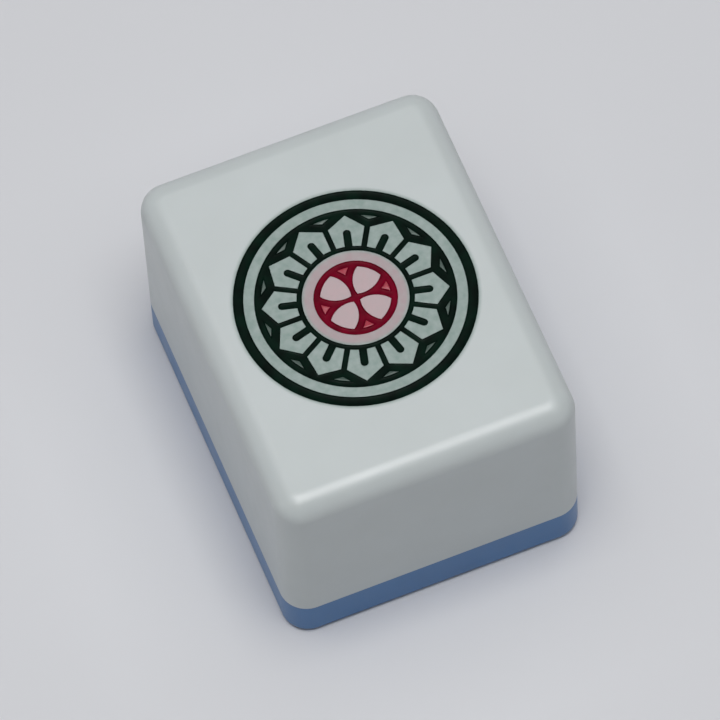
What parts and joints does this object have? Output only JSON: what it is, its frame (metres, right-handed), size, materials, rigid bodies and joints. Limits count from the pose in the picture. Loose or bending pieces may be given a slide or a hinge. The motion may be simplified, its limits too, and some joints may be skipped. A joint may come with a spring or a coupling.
{
  "type": "mahjong tile",
  "caption": "Two-layer game tile with tumbled edges: a white engraved face block on a blue back slab, with a round petal ornament filled in green and red paint.",
  "frame": {"origin": "centre of the flat back, on the surface that the tile lies on", "axes": "+Z out of the engraved face, +Y along the tile's height towards its upper end, +X along its width"},
  "size_m": [0.028, 0.036, 0.0225],
  "materials": {
    "face_resin": "compression-moulded white melamine resin, tumbled and polished",
    "back_resin": "compression-moulded blue melamine resin, tumbled and polished",
    "green_paint": "glossy dark green enamel, brushed into the engraving and wiped off the face",
    "red_paint": "glossy red enamel, brushed into the engraving and wiped off the face"
  },
  "bodies": {
    "root": {"face_block": "face_resin", "back_slab": "back_resin", "outer_ring_paint": "green_paint", "petal_band_paint": "green_paint", "rosette_paint": "red_paint"}
  },
  "joints": []
}
